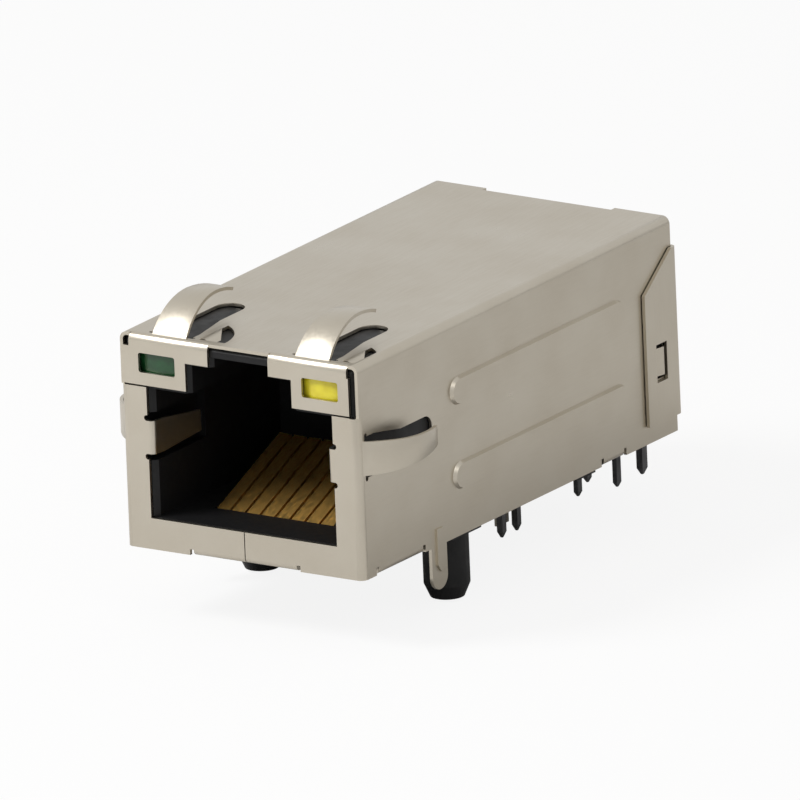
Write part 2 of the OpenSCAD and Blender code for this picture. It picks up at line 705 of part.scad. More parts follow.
module led_pocket() {
    box([led_x - led_w / 2 - led_play, -over, led_z - led_h / 2 - led_play],
        [led_x + led_w / 2 + led_play, led_end_y + 0.1, led_z + led_h / 2 + led_play]);
    box([led_tail_x - 0.35, led_end_y, lead_floor_z], [led_x + 0.35, led_tail_y[1] + 0.4, shield_h]);
    box([led_tail_x - 0.35, led_tail_y[0] - 0.4, 0], [led_tail_x + 0.35, led_tail_y[1] + 0.4, shield_h]);
}

module housing() placed() color(BLACK) {
    pad_z = -board_gap;
    difference() {
        housing_body();
        plug_cavity();
        contact_channel();
        box([-bay_w / 2, cavity_end, -over], [bay_w / 2, shield_l + over, rear_ceiling_z]);
        both_sides() {
            led_pocket();
            // pocket that the plug spring bends into
            box([cavity_w / 2 - over, -over, plug_spring_z - plug_spring_root_h / 2 - 0.45],
                [cavity_w / 2 + 0.6, plug_spring_l + 1.2, plug_spring_z + plug_spring_root_h / 2 + 0.45]);
        }
        // seat for the rear shield's top flange
        box([-rear_cutback_w / 2, housing_end - 2 * top_flange_l, back_plate_h - lining],
            [rear_cutback_w / 2, shield_l + over, shield_h]);
    }
    both_sides() {
        peg();
        // standoffs under the port and at the rear
        box([channel_w / 2 + 0.3, 6.7, pad_z], [channel_w / 2 + 1.5, 6.7 + pad_l, lining + 0.2]);
        box([bay_w / 2, under_tab_spans[1][0] - relief_w - 0.3 - pad_l, pad_z],
            [housing_w / 2, under_tab_spans[1][0] - relief_w - 0.3, lining + 0.2]);
    }
}

// ---- contacts and their carrier ----

function contact_x(i) = (i - (contact_count + 1) / 2) * contact_pitch;

function riser_y(i) = riser_ys[i % 2];

// Side view of the part that the plug presses on
module contact_spring_side() {
    slope_l = (contact_end_y - nose_top_y) / cos(contact_slope);
    translate([nose_y, nose_z]) {
        ring_sector(nose_out_r, nose_in_r, 90 + contact_slope, 180);
        ring_sector(nose_out_r, nose_in_r, 180, 270);
        rotate(contact_slope) translate([0, nose_in_r]) square([slope_l, contact_t]);
        translate([0, -nose_out_r]) square([wide_run_l, contact_t]);
    }
}

// Rectangle with its lower rear corner rounded
module heel(r, y0, z0, y1, z1) {
    translate([y1 - r, z0 + r]) circle(r);
    translate([y0, z0]) square([y1 - r - y0, z1 - z0]);
    translate([y0, z0 + r]) square([y1 - y0, z1 - z0 - r]);
}

// Side view of the part that lies in the carrier and rises through the magnetics board
module contact_run_side(end_y) {
    turn_r = 0.2;
    half_t = contact_t / 2;
    start_y = nose_y + wide_run_l / 2;
    difference() {
        heel(turn_r + half_t, start_y, contact_run_z - half_t, end_y + half_t, solder_top);
        heel(turn_r - half_t, start_y - over, contact_run_z + half_t, end_y - half_t, solder_top + over);
    }
}

module contact(i) placed() color(GOLD) translate([contact_x(i), 0, 0]) {
    along_x(-contact_w / 2, contact_w) contact_spring_side();
    along_x(-contact_run_w / 2, contact_run_w) contact_run_side(riser_y(i));
}

module contact_carrier() placed() color(BLACK) {
    run_top = contact_run_z + contact_t / 2;
    tongue_x = channel_w / 2 - 2 * fit;
    difference() {
        union() {
            box([-tongue_x, nose_y + wide_run_l + fit, lining], [tongue_x, cavity_end + over, nose_z + 0.2]);
            box([-insert_w / 2, cavity_end + fit, lining], [insert_w / 2, carrier_block_end, board_z]);
            box([-insert_w / 2, cavity_end + fit, lining], [insert_w / 2, carrier_block_end + ledge_l, plate_z]);
        }
        for (i = [1:contact_count]) translate([contact_x(i), 0, 0]) {
            half_slot = contact_run_w / 2 + fit / 2;
            box([-half_slot, 0, -over], [half_slot, riser_y(i) + 0.15, run_top]);
            box([-half_slot, riser_y(i) - 0.25, -over], [half_slot, riser_y(i) + 0.15, board_z + over]);
        }
    }
}

// ---- LEDs ----

module led_body() intersection() {
    along_y(lining, led_end_y - lining) translate([led_x, led_z]) rounded_rect(led_w, led_h, 0.15);
    translate([led_x, lining + led_crown_r, 0]) cylinder(2 * shield_h, r = led_crown_r);
}

// The part of an LED body behind its crown
module led_barrel() along_y(2, led_end_y - 2) translate([led_x, led_z]) rounded_rect(led_w, led_h, 0.15);

module led_lead(tail_y, level) {
    half = led_lead / 2;
    jog_y = [tail_y - 5, tail_y - 2.5];
    along_z(level, led_lead)
        polygon([[led_x - half, led_end_y], [led_x + half, led_end_y], [led_x + half, jog_y[0]],
            [led_tail_x + half, jog_y[1]], [led_tail_x + half, tail_y + half],
            [led_tail_x - half, tail_y + half], [led_tail_x - half, jog_y[1]], [led_x - half, jog_y[0]]]);
    translate([led_tail_x, tail_y, 0]) pin(led_lead, led_lead, -pin_l, level + led_lead);
}

module led_leads() {
    led_lead(led_tail_y[0], lead_floor_z);
    led_lead(led_tail_y[1], lead_floor_z + led_lead + 0.17);
}

module green_led() placed() color([0.16, 0.45, 0.25]) mirror([1, 0, 0]) {
    led_body();
    led_barrel();
}

module yellow_led() placed() color([0.9, 0.85, 0.25]) {
    led_body();
    led_barrel();
}

module green_led_leads() placed() color(PIN_METAL) mirror([1, 0, 0]) led_leads();

module yellow_led_leads() placed() color(PIN_METAL) led_leads();

// ---- magnetics board, pins and base ----

function row_x(i, count) = (i - (count - 1) / 2) * pin_pitch;

module front_row() for (i = [0:front_row_count - 1])
    translate([row_x(i, front_row_count), front_row_y, 0]) children();

module rear_row() for (i = [0:rear_row_count - 1])
    translate([row_x(i, rear_row_count), rear_row_y, 0]) children();

module signal_pin() pin(pin_w, pin_d, -pin_l, solder_top);

module pin_slot() translate([-pin_w / 2, -pin_d / 2, -over]) cube([pin_w, pin_d, shield_h]);

module signal_pins_front_row() placed() color(PIN_METAL) front_row() signal_pin();

module signal_pins_rear_row() placed() color(PIN_METAL) rear_row() signal_pin();

module chassis_pins() placed() color(PIN_METAL) both_sides()
    translate([chassis_pin_x, chassis_pin_y, 0]) pin(chassis_pin_w, chassis_pin_d, -chassis_pin_l, board_z - 0.5);

module pin_base() placed() color(BLACK) difference() {
    union() {
        box([-insert_w / 2, base_front_y, lining], [insert_w / 2, housing_end, board_z]);
        box([-insert_w / 2, base_front_y - ledge_l, lining], [insert_w / 2, housing_end, plate_z]);
    }
    front_row() pin_slot();
    rear_row() pin_slot();
    both_sides() box([chassis_pin_x - chassis_pin_w / 2, chassis_pin_y - chassis_pin_d / 2, -over],
        [chassis_pin_x + chassis_pin_w / 2, chassis_pin_y + chassis_pin_d / 2, board_z - 0.5]);
}

module magnetics_board() placed() color(BOARD_GREEN) difference() {
    box([-board_w / 2, cavity_end + 0.3, board_z], [board_w / 2, housing_end - 0.3, board_z + board_t]);
    front_row() pin_slot();
    rear_row() pin_slot();
    both_sides() box([led_tail_x - 0.3, led_tail_y[0] - 0.3, 0], [led_tail_x + 0.3, led_tail_y[1] + 0.3, shield_h]);
    for (i = [1:contact_count]) translate([contact_x(i), riser_y(i), 0])
        box([-contact_run_w / 2, -contact_t / 2, 0], [contact_run_w / 2, contact_t / 2, shield_h]);
}

module inner_ground_plate() placed() color(METAL) {
    half = ground_plate_w / 2;
    box([-half, carrier_block_end + fit, plate_z], [half, base_front_y - fit, plate_z + sheet]);
    both_sides() box([half - sheet, plate_tab_y - plate_tab_w / 2, -plate_tab_l],
        [half, plate_tab_y + plate_tab_w / 2, plate_z]);
}

// ---- magnetics ----

module transformer_place(i)
    translate([(i - 2.5) * coil_pitch_x, coil_row_y, tray_z + pocket_floor]) children();

module choke_place(i)
    translate([(i - 2.5) * coil_pitch_x, coil_row_y + coil_pitch_y, tray_z + pocket_floor]) children();

module coil_tray() placed() color(BLACK) difference() {
    box([-tray_w / 2, tray_front_y, tray_z], [tray_w / 2, tray_end_y, tray_z + pocket_floor + pocket_h]);
    // recess over the soldered ends
    box([-tray_w / 2 + tray_rim, tray_front_y + tray_rim, tray_z - over],
        [tray_w / 2 - tray_rim, tray_end_y - tray_rim, tray_z + solder_reach + 0.1]);
    for (i = [1:4]) {
        transformer_place(i) cylinder(pocket_h + over, d = transformer_d + 2 * fit);
        choke_place(i) cylinder(pocket_h + over, d = choke_d + 2 * fit);
    }
}

// Wound ring core with rounded edges
module coil(d, h) {
    wall = d * 0.28;
    edge = 0.25;
    rotate_extrude() translate([d / 2 - wall / 2, h / 2]) rounded_rect(wall, h, edge);
}

module transformer(i) placed() color(COPPER) transformer_place(i) coil(transformer_d, transformer_h);

module choke(i) placed() color(FERRITE) choke_place(i) coil(choke_d, choke_h);

module termination_resistors() placed() color([0.1, 0.1, 0.1]) for (i = [1:4])
    translate([(i - 2.5) * resistor_pitch - resistor_w / 2, carrier_block_end + ledge_l, tray_z])
        cube([resistor_w, resistor_l, resistor_h]);

module line_capacitor() placed() color([0.72, 0.6, 0.42])
    translate([-capacitor_l / 2, tray_front_y - capacitor_w - 0.3, tray_z])
        cube([capacitor_l, capacitor_w, capacitor_h]);

front_shield();
rear_shield();
housing();
contact_carrier();
contact(1);  // contact_1
contact(2);  // contact_2
contact(3);  // contact_3
contact(4);  // contact_4
contact(5);  // contact_5
contact(6);  // contact_6
contact(7);  // contact_7
contact(8);  // contact_8
green_led();
yellow_led();
green_led_leads();
yellow_led_leads();
magnetics_board();
inner_ground_plate();
pin_base();
signal_pins_front_row();
signal_pins_rear_row();
chassis_pins();
coil_tray();
transformer(1);  // transformer_1
transformer(2);  // transformer_2
transformer(3);  // transformer_3
transformer(4);  // transformer_4
choke(1);  // choke_1
choke(2);  // choke_2
choke(3);  // choke_3
choke(4);  // choke_4
termination_resistors();
line_capacitor();
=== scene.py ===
# %% [markdown]
# # Dressing an RJ45 board jack
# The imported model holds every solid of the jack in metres, with its origin on the circuit board midway
# between the two locating pegs. This lesson leaves those solids where they are and gives them their
# finish: a plated, folded shield, a moulded black housing, gilded spring contacts and two tinted LEDs.

import math

import bmesh
import bpy
from mathutils import Matrix, Vector


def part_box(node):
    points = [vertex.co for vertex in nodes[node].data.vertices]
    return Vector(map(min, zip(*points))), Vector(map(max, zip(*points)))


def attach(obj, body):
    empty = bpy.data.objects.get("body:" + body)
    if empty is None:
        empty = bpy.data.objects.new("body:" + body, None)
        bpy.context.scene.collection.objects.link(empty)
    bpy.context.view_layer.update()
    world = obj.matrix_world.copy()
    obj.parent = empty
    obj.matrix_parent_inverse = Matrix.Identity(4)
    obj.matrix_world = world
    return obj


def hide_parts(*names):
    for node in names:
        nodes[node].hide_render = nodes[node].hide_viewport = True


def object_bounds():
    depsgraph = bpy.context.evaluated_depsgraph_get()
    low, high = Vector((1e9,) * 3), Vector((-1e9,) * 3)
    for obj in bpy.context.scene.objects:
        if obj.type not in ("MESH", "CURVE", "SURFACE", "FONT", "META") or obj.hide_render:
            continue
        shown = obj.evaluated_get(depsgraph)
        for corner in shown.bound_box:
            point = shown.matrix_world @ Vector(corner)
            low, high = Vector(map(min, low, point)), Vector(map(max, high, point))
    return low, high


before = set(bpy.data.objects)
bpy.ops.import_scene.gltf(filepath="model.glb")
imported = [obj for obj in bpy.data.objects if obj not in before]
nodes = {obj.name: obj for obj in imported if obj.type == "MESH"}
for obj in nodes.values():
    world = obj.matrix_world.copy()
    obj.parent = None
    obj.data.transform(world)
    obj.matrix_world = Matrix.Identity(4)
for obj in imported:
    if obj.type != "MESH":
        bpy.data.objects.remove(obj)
cad_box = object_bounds()
MM = 0.001
print("solids:", len(nodes), "box in mm:", [[round(v / MM, 2) for v in corner] for corner in cad_box])

# %% [markdown]
# ## Sizes that the finish needs
# A finish has a scale of its own, and it also has to know where the faces are.

# %% Read the places of the main faces
front_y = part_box("front_shield")[0].y
back_low, back_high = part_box("rear_shield")
centre_x = (back_low.x + back_high.x) / 2
housing_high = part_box("housing")[1]
print("front face at", round(front_y / MM, 2), "mm, rear face at", round(back_high.y / MM, 2), "mm")


# %% [markdown]
# ## Materials from nodes
# Every material below is a Principled shader with a few texture nodes in front of it. The nodes read
# Object coordinates, which are metres on these solids, so a texture scale of 1000 gives features of about
# one millimetre. Small helpers keep each recipe to the lines that matter.

# %% Helpers for node materials
MIX_FACTOR, MIX_FIRST, MIX_SECOND, MIX_RESULT = 0, 6, 7, 2  # the Mix node's sockets in its colour form


def srgb(r, g, b):
    """Linear colour for a colour written in 0-255 steps."""
    def linear(c):
        c = c / 255
        return c / 12.92 if c <= 0.04045 else ((c + 0.055) / 1.055) ** 2.4
    return (linear(r), linear(g), linear(b), 1.0)


def new_material(name, colour, **sockets):
    """A material with a Principled shader; the keywords set the shader's own sockets."""
    material = bpy.data.materials.new(name)
    material.use_nodes = True
    shader = material.node_tree.nodes["Principled BSDF"]
    shader.inputs["Base Color"].default_value = colour
    for socket, value in sockets.items():
        shader.inputs[socket.replace("_", " ")].default_value = value
    return material


def add_node(material, kind, **settings):
    node = material.node_tree.nodes.new(kind)
    for key, value in settings.items():
        setattr(node, key, value)
    return node


def link(material, source, target):
    material.node_tree.links.new(source, target)


def feed(material, source, socket):
    """Lets a node's output drive one socket of the material's shader."""
    link(material, source, material.node_tree.nodes["Principled BSDF"].inputs[socket])


def object_space(material, streak_axis=None, streak_scale=1.0):
    """Object coordinates; a small scale along one axis draws long streaks along it."""
    scale = [1.0, 1.0, 1.0]
    if streak_axis is not None:
        scale[streak_axis] = streak_scale
    place = add_node(material, "ShaderNodeTexCoord")
    mapping = add_node(material, "ShaderNodeMapping")
    mapping.inputs["Scale"].default_value = scale
    link(material, place.outputs["Object"], mapping.inputs["Vector"])
    return mapping.outputs["Vector"]


def noise(material, vector, scale, detail=3.0, roughness=0.5):
    node = add_node(material, "ShaderNodeTexNoise")
    node.inputs["Scale"].default_value = scale
    node.inputs["Detail"].default_value = detail
    node.inputs["Roughness"].default_value = roughness
    link(material, vector, node.inputs["Vector"])
    return node.outputs["Fac"]


def add_up(material, first, second):
    node = add_node(material, "ShaderNodeMath", operation="ADD")
    link(material, first, node.inputs[0])
    link(material, second, node.inputs[1])
    return node.outputs["Value"]


def spread(material, value, low, high, from_low=0.3, from_high=0.7):
    """Stretches a texture value onto the range low to high."""
    node = add_node(material, "ShaderNodeMapRange")
    limits = {"From Min": from_low, "From Max": from_high, "To Min": low, "To Max": high}
    for socket, number in limits.items():
        node.inputs[socket].default_value = number
    link(material, value, node.inputs["Value"])
    return node.outputs["Result"]


def colour_between(material, value, first, second, from_low=0.3, from_high=0.7):
    """The base colour wanders from the first colour to the second as a texture value rises."""
    node = add_node(material, "ShaderNodeMix", data_type="RGBA")
    node.inputs[MIX_FIRST].default_value = first
    node.inputs[MIX_SECOND].default_value = second
    link(material, spread(material, value, 0.0, 1.0, from_low, from_high), node.inputs[MIX_FACTOR])
    feed(material, node.outputs[MIX_RESULT], "Base Color")


def bump(material, height, distance):
    node = add_node(material, "ShaderNodeBump")
    node.inputs["Distance"].default_value = distance
    node.inputs["Strength"].default_value = 1.0
    link(material, height, node.inputs["Height"])
    feed(material, node.outputs["Normal"], "Normal")


# %% [markdown]
# ## The plated shield
# The shield is phosphor bronze or brass strip with a satin nickel plating. Rolled strip carries a very fine
# grain along its length, and handling leaves faint clouds in the gloss. A metal has no colour of its own
# beside its reflection, so the grain goes into the roughness and a shallow bump, and the base colour only
# wanders between two warm greys.

# %% Make the nickel plating
X_AXIS, Y_AXIS, Z_AXIS = range(3)
NICKEL_LIGHT = srgb(197, 190, 176)
NICKEL_DARK = srgb(192, 184, 169)


def nickel_plating(name, grain_axis):
    material = new_material(name, NICKEL_LIGHT, Metallic=1.0, Roughness=0.36)
    grain = noise(material, object_space(material, grain_axis, streak_scale=0.06), scale=9000, detail=2.0)
    clouds = noise(material, object_space(material), scale=260, detail=4.0)
    colour_between(material, clouds, NICKEL_LIGHT, NICKEL_DARK)
    gloss = add_up(material, spread(material, grain, low=-0.05, high=0.05),
                   spread(material, clouds, low=0.32, high=0.36))
    feed(material, gloss, "Roughness")
    bump(material, grain, distance=0.0012 * MM)
    return material


plated_strip = nickel_plating("plated_strip", Y_AXIS)
plated_back = nickel_plating("plated_back", Z_AXIS)

# %% [markdown]
# ## The moulded housing
# The housing is a glass-filled liquid-crystal polymer. It is black, slightly mottled where the glass comes
# near the surface, and has the dull sheen of an eroded mould. A fine noise gives that skin its grain.

# %% Make the black moulding
MOTTLE_SHADE = 0.62


def black_moulding(name, colour, rough):
    material = new_material(name, colour, Roughness=rough, Specular_IOR_Level=0.3)
    skin = noise(material, object_space(material), scale=16000, detail=2.0)
    mottle = noise(material, object_space(material), scale=900, detail=3.0)
    darker = tuple(c * MOTTLE_SHADE for c in colour[:3]) + (1.0,)
    colour_between(material, mottle, colour, darker)
    feed(material, spread(material, mottle, low=rough - 0.06, high=rough + 0.08), "Roughness")
    bump(material, skin, distance=0.004 * MM)
    return material


housing_black = black_moulding("housing_black", srgb(22, 22, 23), 0.5)
insert_black = black_moulding("insert_black", srgb(20, 20, 21), 0.55)

# %% [markdown]
# ## Contacts and pins
# The spring contacts are gilded where the plug touches them. The pins below are tinned, and soldering
# flux and heat leave them dull grey. Both are drawn wire or stamped strip, so their streaks run along
# the length.

# %% Make the contact and pin metals
def drawn_metal(name, light, dark, rough, axis):
    material = new_material(name, light, Metallic=1.0, Roughness=rough)
    streaks = noise(material, object_space(material, axis, streak_scale=0.08), scale=7000, detail=3.0)
    colour_between(material, streaks, light, dark)
    feed(material, spread(material, streaks, low=rough - 0.06, high=rough + 0.1), "Roughness")
    bump(material, streaks, distance=0.0003 * MM)
    return material


contact_gold = drawn_metal("contact_gold", srgb(250, 206, 120), srgb(240, 188, 100), 0.42, Y_AXIS)
pin_tin = drawn_metal("pin_tin", srgb(104, 104, 105), srgb(84, 84, 86), 0.42, Z_AXIS)
plate_tin = drawn_metal("plate_tin", srgb(190, 184, 170), srgb(172, 165, 150), 0.4, Y_AXIS)

# %% [markdown]
# ## LEDs
# An LED here is a small rectangular lens of tinted epoxy behind a window in the shield. Light enters it,
# scatters and comes back coloured, which subsurface scattering under a clear glossy skin shows well.

# %% Make the tinted lenses
def tinted_epoxy(name, colour, deep):
    material = new_material(name, colour, Roughness=0.22, Subsurface_Weight=0.15,
                            Subsurface_Radius=(1.0, 1.0, 1.0), Subsurface_Scale=0.6 * MM,
                            Coat_Weight=0.15, Coat_Roughness=0.12)
    haze = noise(material, object_space(material), scale=1500, detail=2.0)
    colour_between(material, haze, colour, deep)
    bump(material, haze, distance=0.01 * MM)
    return material


green_epoxy = tinted_epoxy("green_epoxy", srgb(24, 74, 38), srgb(16, 58, 28))
yellow_epoxy = tinted_epoxy("yellow_epoxy", srgb(228, 216, 52), srgb(212, 196, 38))

# %% [markdown]
# ## Inside the jack
# The pieces behind the housing are seen from below and when the jack is taken apart: a glass-epoxy board,
# a coil tray, wound ring cores, chip resistors and a ceramic capacitor.

# %% Make the inner finishes
def woven_board(name):
    """Solder mask over a glass weave: two crossed sets of waves, barely raised."""
    material = new_material(name, srgb(36, 84, 48), Roughness=0.4)
    vector = object_space(material)
    waves = []
    for direction in ("X", "Y"):
        wave = add_node(material, "ShaderNodeTexWave", bands_direction=direction)
        wave.inputs["Scale"].default_value = 500
        wave.inputs["Distortion"].default_value = 0.4
        link(material, vector, wave.inputs["Vector"])
        waves.append(wave.outputs["Fac"])
    weave = add_up(material, *waves)
    colour_between(material, weave, srgb(34, 78, 46), srgb(48, 98, 60), from_low=0.4, from_high=1.6)
    bump(material, weave, distance=0.008 * MM)
    return material


def speckled(name, colour, fleck, rough):
    material = new_material(name, colour, Roughness=rough)
    flecks = noise(material, object_space(material), scale=5000, detail=4.0, roughness=0.7)
    colour_between(material, flecks, colour, fleck, from_low=0.45, from_high=0.6)
    bump(material, flecks, distance=0.005 * MM)
    return material


board_mask = woven_board("board_mask")
core_ferrite = speckled("core_ferrite", srgb(62, 58, 56), srgb(88, 82, 78), 0.55)
winding_enamel = drawn_metal("winding_enamel", srgb(196, 108, 58), srgb(160, 82, 42), 0.3, Z_AXIS)
ceramic_tan = speckled("ceramic_tan", srgb(176, 150, 108), srgb(150, 124, 86), 0.45)
chip_black = speckled("chip_black", srgb(32, 32, 34), srgb(52, 52, 54), 0.4)

# %% [markdown]
# ## Giving each solid its material
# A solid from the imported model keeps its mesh. Only its material slots change, so one short table from
# name to material covers all of them. A solid that the table leaves out stops the script with its name.

# %% Assign the materials
finish = {
    "front_shield": plated_strip,
    "rear_shield": plated_back,
    "housing": housing_black,
    "contact_carrier": insert_black,
    "pin_base": insert_black,
    "coil_tray": insert_black,
    "green_led": green_epoxy,
    "yellow_led": yellow_epoxy,
    "green_led_leads": pin_tin,
    "yellow_led_leads": pin_tin,
    "magnetics_board": board_mask,
    "inner_ground_plate": plate_tin,
    "signal_pins_front_row": pin_tin,
    "signal_pins_rear_row": pin_tin,
    "chassis_pins": pin_tin,
    "termination_resistors": chip_black,
    "line_capacitor": ceramic_tan,
}
numbered = {"contact_": contact_gold, "transformer_": winding_enamel, "choke_": core_ferrite}
for stem, material in numbered.items():
    finish.update({name: material for name in nodes
                   if name.startswith(stem) and name[len(stem):].isdigit()})
for name, piece in nodes.items():
    piece.data.materials.clear()
    piece.data.materials.append(finish[name])
print("finished solids:", len(finish), "of", len(nodes))

# %% [markdown]
# ## The lances in the top
# Beside each top finger a small tongue is sheared out of the sheet and pressed down, where it grips the
# housing. It leaves a window with a straight left side and front, closed by one round side. The window is
# cut from a copy of the shield with a Boolean modifier, and the tongue is a small sheet of its own, rolled
# along its root. A third cut widens the gap between the right LED flap and the side. The copy then stands
# for the solid shield.

# %% Sizes of the lances and of the gap beside the flap
SHEET = 0.25 * MM
HOUSING_PLAY = 0.05 * MM
SIDE_BEND = 0.6 * MM
LANCE_ROOTS = (-3.02 * MM, 6.78 * MM)
LANCE_SETBACK = 0.72 * MM
WINDOW_WIDTH, WINDOW_LENGTH = 1.72 * MM, 3.0 * MM
WINDOW_ARC_STEPS = 16
TONGUE_WIDTH, TONGUE_LENGTH = 1.3 * MM, 2.4 * MM
TONGUE_RADIUS = 1.1 * MM
TONGUE_TURN = math.radians(58)
TONGUE_SETBACK = 0.1 * MM
TONGUE_LEAST_WIDTH = 0.05 * MM
TONGUE_ROWS, TONGUE_COLUMNS = 12, 10
FLAP_GAP_INNER, FLAP_GAP_OUTER = 0.62 * MM, 0.26 * MM
FLAP_GAP_TOP, FLAP_GAP_FOOT = 0.72 * MM, 3.2 * MM
FLAP_GAP_DEPTH = 1.2 * SHEET
CUT_REACH = 2 * SHEET
WELD_DISTANCE = 0.0005 * MM
FLAT_ANGLE = math.radians(0.5)
EDGE_WEAR = 0.025 * MM
EDGE_ANGLE = math.radians(35)

lance_y = front_y + LANCE_SETBACK
top_z = housing_high.z + SHEET + HOUSING_PLAY
side_x = centre_x + housing_high.x + SHEET + HOUSING_PLAY
window_limit = side_x - SIDE_BEND
print("top of the shield at", round(top_z / MM, 2), "mm")


# %% [markdown]
# The cutters are prisms that stand a little proud of the sheet on both sides, so no face of a cutter lies
# in a face of the shield. A tongue is a single layer of faces that the Solidify modifier thickens inwards.

# %% Helpers for the folded shield
def add_object(name, data):
    thing = bpy.data.objects.new(name, data)
    bpy.context.scene.collection.objects.link(thing)
    return thing


def new_piece(name, vertices, faces, material):
    mesh = bpy.data.meshes.new(name)
    mesh.from_pydata(vertices, [], faces)
    mesh.validate()
    mesh.materials.append(material)
    return add_object(name, mesh)


def prism(outline, low, high):
    """An upright prism between two heights over an outline that runs anticlockwise."""
    count = len(outline)
    vertices = [(x, y, z) for z in (low, high) for x, y in outline]
    faces = [tuple(reversed(range(count))), tuple(range(count, 2 * count))]
    faces += [(i, (i + 1) % count, count + (i + 1) % count, count + i) for i in range(count)]
    return new_piece("cutter", vertices, faces, plated_strip)


def lance_window(root_x):
    """Two straight sides, and an arc from the right corner to the rear one that stops at the side bend."""
    lean = (WINDOW_LENGTH ** 2 - WINDOW_WIDTH ** 2) / (2 * WINDOW_WIDTH)
    radius = lean + WINDOW_WIDTH
    sweep = math.asin(WINDOW_LENGTH / radius)
    outline = [(root_x, lance_y)]
    for i in range(WINDOW_ARC_STEPS + 1):
        a = sweep * i / WINDOW_ARC_STEPS
        outline.append((min(root_x - lean + radius * math.cos(a), window_limit),
                        lance_y + radius * math.sin(a)))
    return prism(outline, top_z - CUT_REACH, top_z + CUT_REACH)


def flap_gap():
    """The slot between the right LED flap and the side, open to the front."""
    inner, outer = side_x - FLAP_GAP_INNER, side_x - FLAP_GAP_OUTER
    before, behind = front_y - MM, front_y + FLAP_GAP_DEPTH
    outline = [(inner, before), (outer, before), (outer, behind), (inner, behind)]
    return prism(outline, top_z - FLAP_GAP_FOOT, top_z - FLAP_GAP_TOP)


def lance_tongue(root_x):
    """Rows of points from the root line round the bend, narrower towards the rear."""
    vertices = []
    for j in range(TONGUE_ROWS + 1):
        share = j / TONGUE_ROWS
        y = lance_y + TONGUE_SETBACK + (TONGUE_LENGTH - TONGUE_SETBACK) * share
        reach = min(max(TONGUE_WIDTH * (1 - share), TONGUE_LEAST_WIDTH), window_limit - root_x)
        turn = min(TONGUE_TURN, math.asin(min(reach / TONGUE_RADIUS, 1)))
        for i in range(TONGUE_COLUMNS + 1):
            a = turn * i / TONGUE_COLUMNS
            vertices.append((root_x + TONGUE_RADIUS * math.sin(a), y,
                             top_z - TONGUE_RADIUS * (1 - math.cos(a))))
    step = TONGUE_COLUMNS + 1
    faces = [(j * step + i, j * step + i + 1, (j + 1) * step + i + 1, (j + 1) * step + i)
             for j in range(TONGUE_ROWS) for i in range(TONGUE_COLUMNS)]
    tongue = new_piece("tongue", vertices, faces, plated_strip)
    wall = tongue.modifiers.new("wall", "SOLIDIFY")
    wall.thickness = SHEET
    wall.offset = -1
    return tongue


def bake_modifiers(piece):
    """Turns what the modifiers give into the piece's own mesh."""
    bpy.context.view_layer.update()
    depsgraph = bpy.context.evaluated_depsgraph_get()
    mesh = bpy.data.meshes.new_from_object(piece.evaluated_get(depsgraph))
    piece.modifiers.clear()
    old = piece.data
    piece.data = mesh
    bpy.data.meshes.remove(old)


def copy_of_solid(node_name, piece_name):
    """A copy with welded points and whole flat faces, which cuts and bevels take well."""
    piece = add_object(piece_name, nodes[node_name].data.copy())
    shape = bmesh.new()
    shape.from_mesh(piece.data)
    bmesh.ops.remove_doubles(shape, verts=shape.verts, dist=WELD_DISTANCE)
    bmesh.ops.dissolve_limit(shape, angle_limit=FLAT_ANGLE, verts=shape.verts, edges=shape.edges)
    shape.to_mesh(piece.data)
    shape.free()
    return piece


# %% Cut the windows and the gap
folded_shield = copy_of_solid("front_shield", "folded_shield")
cutters = [lance_window(x) for x in LANCE_ROOTS] + [flap_gap()]
for cutter in cutters:
    window = folded_shield.modifiers.new("window", "BOOLEAN")
    window.operation = "DIFFERENCE"
    window.solver = "EXACT"
    window.object = cutter
bake_modifiers(folded_shield)
for cutter in cutters:
    bpy.data.objects.remove(cutter)

# %% Join the tongues to the sheet
tongues = [lance_tongue(x) for x in LANCE_ROOTS]
shape = bmesh.new()
shape.from_mesh(folded_shield.data)
for tongue in tongues:
    bake_modifiers(tongue)
    shape.from_mesh(tongue.data)
    bpy.data.objects.remove(tongue)
shape.to_mesh(folded_shield.data)
shape.free()
folded_shield.data.materials.clear()
folded_shield.data.materials.append(plated_strip)

# %% Round the sheared edges
wear = folded_shield.modifiers.new("worn edges", "BEVEL")
wear.width = EDGE_WEAR
wear.segments = 2
wear.limit_method = "ANGLE"
wear.angle_limit = EDGE_ANGLE
bake_modifiers(folded_shield)
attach(folded_shield, "root")
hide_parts("front_shield")
print("folded shield:", len(folded_shield.data.polygons), "faces")

# %% [markdown]
# ## Floor
# The floor is pale and catches a shadow. It glows for the camera's own rays, which makes it nearly white,
# while the light that it returns to the jack is that of a plain matt sheet.

# %% Build the floor
FLOOR_DROP = 0.2 * MM
FLOOR_REACH = 1.5
FLOOR_GREY = 0.8
FLOOR_GLOW = 0.88

floor_z = cad_box[0].z - FLOOR_DROP
corners = [(x * FLOOR_REACH, y * FLOOR_REACH, floor_z) for x, y in ((-1, -1), (1, -1), (1, 1), (-1, 1))]
floor_white = new_material("floor_white", (FLOOR_GREY, FLOOR_GREY, FLOOR_GREY, 1.0), Roughness=0.9)
floor = new_piece("floor", corners, [(0, 1, 2, 3)], floor_white)

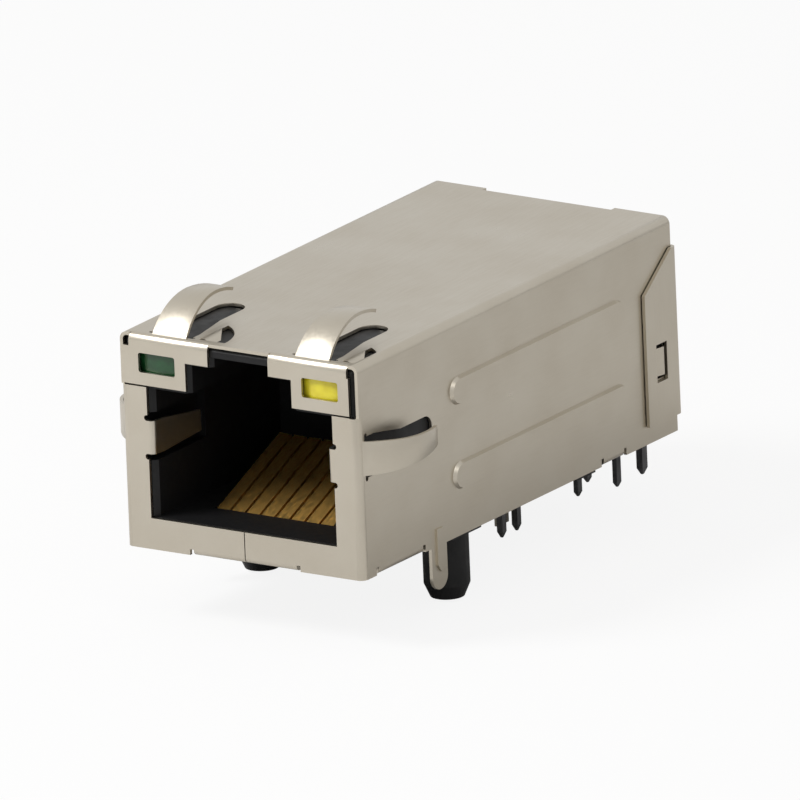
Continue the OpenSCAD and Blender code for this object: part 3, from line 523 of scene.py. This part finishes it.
matt = floor_white.node_tree.nodes["Principled BSDF"]
glow = add_node(floor_white, "ShaderNodeEmission")
eye = add_node(floor_white, "ShaderNodeLightPath")
share = add_node(floor_white, "ShaderNodeMath", operation="MULTIPLY")
share.inputs[1].default_value = FLOOR_GLOW
blend = add_node(floor_white, "ShaderNodeMixShader")
link(floor_white, eye.outputs["Is Camera Ray"], share.inputs[0])
link(floor_white, share.outputs["Value"], blend.inputs["Fac"])
link(floor_white, matt.outputs["BSDF"], blend.inputs[1])
link(floor_white, glow.outputs["Emission"], blend.inputs[2])
link(floor_white, blend.outputs["Shader"],
     floor_white.node_tree.nodes["Material Output"].inputs["Surface"])

# %% [markdown]
# ## Sky
# An even sky lights the jack from all sides. Camera, mirror and glass rays find a brighter, white one, so
# the background is white and the plating has something pale to reflect.

# %% Build the sky
SKY_TINT = (1.0, 0.98, 0.96, 1.0)
SKY_STRENGTH = 0.45
WHITE_STRENGTH = 1.0

world = bpy.data.worlds.new("studio")
bpy.context.scene.world = world
world.use_nodes = True
sky = world.node_tree
plain_sky = sky.nodes["Background"]
plain_sky.inputs["Color"].default_value = SKY_TINT
plain_sky.inputs["Strength"].default_value = SKY_STRENGTH
white_sky = sky.nodes.new("ShaderNodeBackground")
white_sky.inputs["Strength"].default_value = WHITE_STRENGTH

path = sky.nodes.new("ShaderNodeLightPath")
white_rays = path.outputs["Is Camera Ray"]
for kind in ("Is Glossy Ray", "Is Transmission Ray"):
    larger = sky.nodes.new("ShaderNodeMath")
    larger.operation = "MAXIMUM"
    sky.links.new(white_rays, larger.inputs[0])
    sky.links.new(path.outputs[kind], larger.inputs[1])
    white_rays = larger.outputs["Value"]
choice = sky.nodes.new("ShaderNodeMixShader")
sky.links.new(white_rays, choice.inputs["Fac"])
sky.links.new(plain_sky.outputs["Background"], choice.inputs[1])
sky.links.new(white_sky.outputs["Background"], choice.inputs[2])
sky.links.new(choice.outputs["Shader"], sky.nodes["World Output"].inputs["Surface"])


# %% [markdown]
# ## Lamps
# Two large round lamps aim at the middle of the jack. The one over the left shoulder is the stronger, so
# the front face is lighter than the side.

# %% Hang the lamps
KEY_PLACE, KEY_SIZE, KEY_POWER = (-0.16, -0.16, 0.24), 0.12, 0.8
FILL_PLACE, FILL_SIZE, FILL_POWER = (0.2, -0.1, 0.2), 0.16, 0.08


def soft_lamp(name, place, aim, size, power):
    light = bpy.data.lights.new(name, "AREA")
    light.shape = "DISK"
    light.size = size
    light.energy = power
    lamp = add_object(name, light)
    lamp.location = place
    lamp.rotation_mode = "QUATERNION"
    lamp.rotation_quaternion = (Vector(aim) - Vector(place)).to_track_quat("-Z", "Y")


middle = (cad_box[0] + cad_box[1]) / 2
soft_lamp("key", KEY_PLACE, middle, KEY_SIZE, KEY_POWER)
soft_lamp("fill", FILL_PLACE, middle, FILL_SIZE, FILL_POWER)

# %% [markdown]
# ## Camera
# The camera looks along one direction without perspective, as in a catalogue drawing. Its direction is
# given by an azimuth from the front, an elevation and a slight roll, and it aims at a point measured from
# the middle of the front face's lower edge.

# %% Set the camera
VIEW_AZIMUTH = math.radians(33.92)
VIEW_ELEVATION = math.radians(16.96)
VIEW_ROLL = math.radians(-2.33)
VIEW_WIDTH = 45.8 * MM
CAMERA_DISTANCE = 0.2
FRONT_EDGE_HEIGHT = 0.25 * MM
AIM_RIGHT = 8.848 * MM
AIM_UP = 9.362 * MM

towards = Vector((math.sin(VIEW_AZIMUTH) * math.cos(VIEW_ELEVATION),
                  -math.cos(VIEW_AZIMUTH) * math.cos(VIEW_ELEVATION), math.sin(VIEW_ELEVATION)))
level_right = (-towards).cross(Vector((0, 0, 1))).normalized()
level_up = level_right.cross(-towards)
right = math.cos(VIEW_ROLL) * level_right + math.sin(VIEW_ROLL) * level_up
up = -math.sin(VIEW_ROLL) * level_right + math.cos(VIEW_ROLL) * level_up
front_edge = Vector((centre_x, front_y, FRONT_EDGE_HEIGHT))
aim = front_edge + AIM_RIGHT * right + AIM_UP * up

lens = bpy.data.cameras.new("camera")
lens.type = "ORTHO"
lens.ortho_scale = VIEW_WIDTH
camera = add_object("camera", lens)
camera.location = aim + towards * CAMERA_DISTANCE
camera.rotation_mode = "QUATERNION"
camera.rotation_quaternion = Matrix((right, up, towards)).transposed().to_quaternion()
bpy.context.scene.camera = camera
bpy.context.scene.view_settings.view_transform = "Standard"
